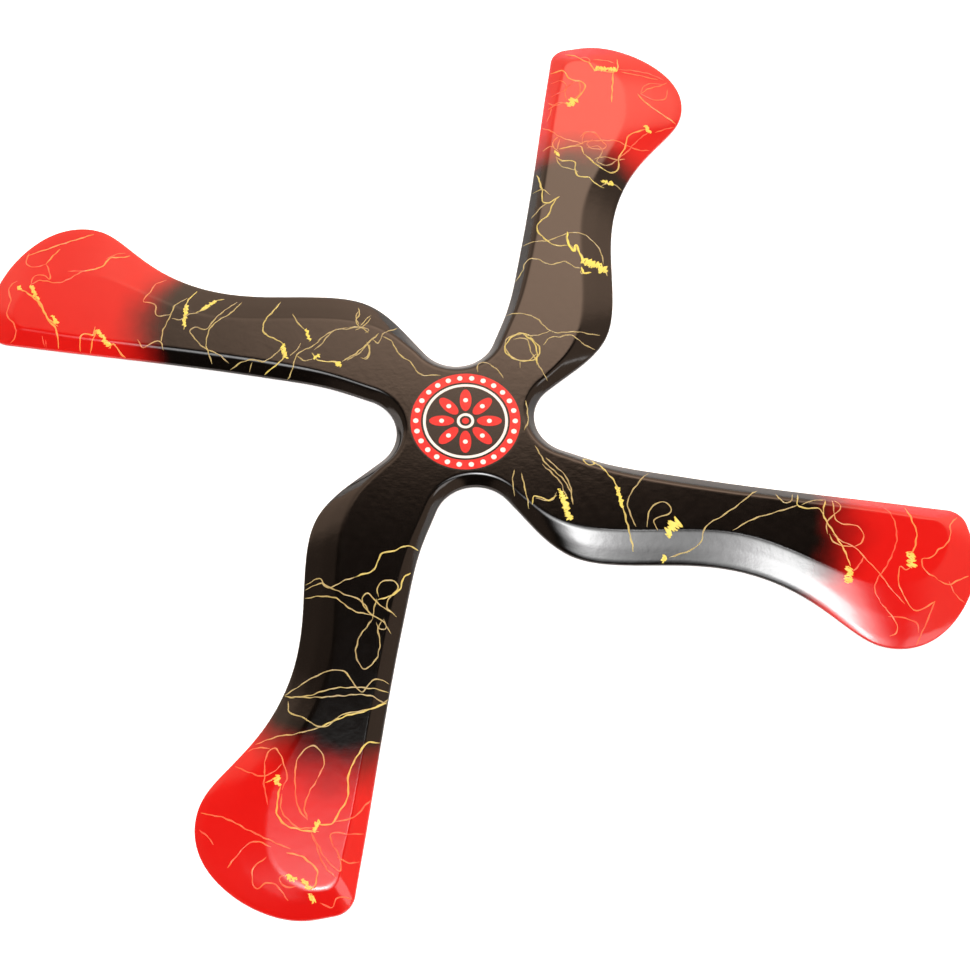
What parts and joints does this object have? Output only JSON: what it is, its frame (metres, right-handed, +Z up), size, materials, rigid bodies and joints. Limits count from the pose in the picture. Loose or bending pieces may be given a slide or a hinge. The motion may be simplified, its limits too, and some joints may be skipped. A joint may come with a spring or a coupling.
{
  "type": "four-bladed boomerang",
  "caption": "Flat cross-shaped returning boomerang with curved, bevelled blades that widen into rounded tips, lacquered on top, with a round emblem on the hub.",
  "frame": {"origin": "under the centre of the hub, on the flat underside, which is also the bottom centre of the bounding box", "axes": "+Z up out of the painted top face and along the spin axis, +Y the way one blade points and +X the way the next blade clockwise points"},
  "size_m": [0.2862, 0.2862, 0.0034],
  "materials": {
    "wing_plastic": "satin",
    "black_lacquer": "gloss",
    "red_lacquer": "gloss",
    "emblem_black": "gloss",
    "emblem_red": "gloss",
    "emblem_white": "gloss",
    "yellow_paint": "gloss"
  },
  "bodies": {
    "root": {"wing": "wing_plastic", "black_lacquer": "black_lacquer", "red_tip_lacquer": "red_lacquer", "emblem_film": "emblem_black", "emblem_red_ink": "emblem_red", "emblem_white_ink": "emblem_white"}
  },
  "joints": []
}
